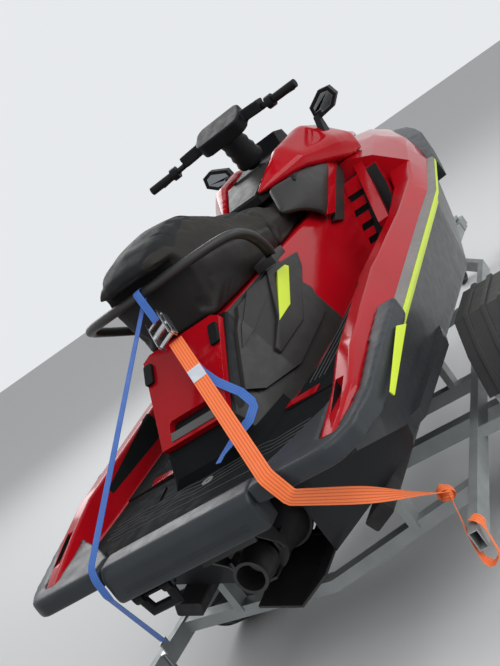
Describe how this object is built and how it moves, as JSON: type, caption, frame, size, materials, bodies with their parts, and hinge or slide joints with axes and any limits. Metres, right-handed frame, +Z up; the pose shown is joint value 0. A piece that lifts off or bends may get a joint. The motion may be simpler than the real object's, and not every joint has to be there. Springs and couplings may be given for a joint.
{
  "type": "three-seat runabout personal watercraft on its trailer",
  "caption": "Sit-down watercraft with long saddle, grab rail, stern platform and jet pump, strapped on a single-axle trailer with winch post and jockey wheel.",
  "frame": {"origin": "centre of the whole object's box at the ground, with the tyres and the jockey wheel standing on z = 0", "axes": "+X to the bow and the trailer's coupling, +Y to port, +Z up"},
  "size_m": [4.4493, 1.709, 1.6579],
  "materials": {
    "hull_grey": "gloss",
    "deck_red": "gloss",
    "trim_black": "satin",
    "panel_grey": "satin",
    "bumper_black": "satin",
    "mat_black": "matte",
    "seat_vinyl": "satin",
    "grip_rubber": "matte",
    "rail_grey": "satin",
    "steel_satin": "brushed",
    "pump_alloy": "cast",
    "galvanised": "galvanised",
    "tyre_black": "matte",
    "bunk_grey": "carpeted",
    "guard_plastic": "moulded",
    "engine_cast": "cast",
    "strap_orange": "woven",
    "strap_blue": "woven"
  },
  "bodies": {
    "craft": {"hull": "hull_grey", "deck": "deck_red", "stern_bumper_left": "bumper_black", "stern_bumper_right": "bumper_black", "stern_bumper_centre": "bumper_black", "bow_bumper": "bumper_black", "rub_rail_left": "bumper_black", "rub_rail_right": "bumper_black", "platform_mat": "mat_black", "footwell_mat_left": "mat_black", "footwell_mat_right": "mat_black", "seat_passenger": "seat_vinyl", "seat_rider": "seat_vinyl", "cowl": "deck_red", "console": "trim_black", "mirror_left": "trim_black", "mirror_right": "trim_black", "rear_hatch": "deck_red", "hatch_handle": "rail_grey", "hatch_latches": "grip_rubber", "grab_rail": "rail_grey", "side_panel_left": "panel_grey", "side_panel_right": "panel_grey", "hood_hinge": "steel_satin", "pump_housing": "pump_alloy", "ride_plate": "pump_alloy", "intake_grate": "pump_alloy", "engine_block": "engine_cast", "trailer_frame": "galvanised", "axle": "galvanised", "mudguard_left": "guard_plastic", "mudguard_right": "guard_plastic", "bunk_left": "bunk_grey", "bunk_right": "bunk_grey", "winch_post": "galvanised", "bow_stop": "tyre_black", "strap_orange": "strap_orange", "strap_blue": "strap_blue", "strap_tail": "strap_blue", "strap_ratchet": "steel_satin", "strap_hook": "steel_satin", "coupling": "galvanised", "jockey_tube": "galvanised"},
    "wheel_left": {"tyre_left": "tyre_black", "rim_left": "galvanised"},
    "wheel_right": {"tyre_right": "tyre_black", "rim_right": "galvanised"},
    "jockey_swivel": {"jockey_fork": "galvanised"},
    "jockey_roller": {"jockey_wheel": "tyre_black"},
    "winch": {"winch_drum": "galvanised"},
    "handlebar": {"steering_bar": "trim_black", "bar_pad": "trim_black", "grip_left": "grip_rubber", "grip_right": "grip_rubber"},
    "nozzle": {"steering_nozzle": "pump_alloy"},
    "gate": {"reverse_bucket": "pump_alloy"},
    "impeller_shaft": {"impeller": "steel_satin"},
    "hood_lid": {"hood": "deck_red"},
    "glovebox": {"glovebox_lid": "trim_black"},
    "step": {"boarding_step": "trim_black"}
  },
  "joints": [
    {"name": "wheel_left_spin", "type": "hinge", "parent": "craft", "child": "wheel_left", "pos_m": [-1.0765, 0.745, 0.275], "axis": [0, 1, 0], "continuous": true},
    {"name": "wheel_right_spin", "type": "hinge", "parent": "craft", "child": "wheel_right", "pos_m": [-1.0765, -0.745, 0.275], "axis": [0, 1, 0], "continuous": true},
    {"name": "jockey_swivel_turn", "type": "hinge", "parent": "craft", "child": "jockey_swivel", "pos_m": [1.8735, 0.105, 0.3], "axis": [0, 0, 1], "continuous": true},
    {"name": "jockey_roll", "type": "hinge", "parent": "jockey_swivel", "child": "jockey_roller", "pos_m": [1.8385, 0.105, 0.1], "axis": [0, 1, 0], "continuous": true},
    {"name": "winch_turn", "type": "hinge", "parent": "craft", "child": "winch", "pos_m": [1.7085, 0, 0.85], "axis": [0, 1, 0], "continuous": true},
    {"name": "steering", "type": "hinge", "parent": "craft", "child": "handlebar", "pos_m": [-0.1565, 0, 1.398], "axis": [-0.4226, 0, 0.9063], "range_deg": [-22, 22]},
    {"name": "nozzle_yaw", "type": "hinge", "parent": "craft", "child": "nozzle", "pos_m": [-1.9365, 0, 0.535], "axis": [0, 0, 1], "range_deg": [-22, 22]},
    {"name": "reverse_gate", "type": "hinge", "parent": "craft", "child": "gate", "pos_m": [-1.9365, 0, 0.555], "axis": [0, -1, 0], "range_deg": [0, 60]},
    {"name": "impeller_spin", "type": "hinge", "parent": "craft", "child": "impeller_shaft", "pos_m": [-1.6665, 0, 0.535], "axis": [1, 0, 0], "continuous": true},
    {"name": "hood_hinge_turn", "type": "hinge", "parent": "craft", "child": "hood_lid", "pos_m": [1.0285, 0, 1.19865], "axis": [0, 1, 0], "range_deg": [0, 50]},
    {"name": "glovebox_hinge", "type": "hinge", "parent": "craft", "child": "glovebox", "pos_m": [-0.2965, 0, 1.388], "axis": [0, 1, 0], "range_deg": [0, 50]},
    {"name": "step_fold", "type": "hinge", "parent": "craft", "child": "step", "pos_m": [-2.1605, 0.184, 0.682], "axis": [0, 1, 0], "range_deg": [0, 70]}
  ],
  "couplings": [
    {"joint": "nozzle_yaw", "follows": "steering", "ratio": -1}
  ]
}
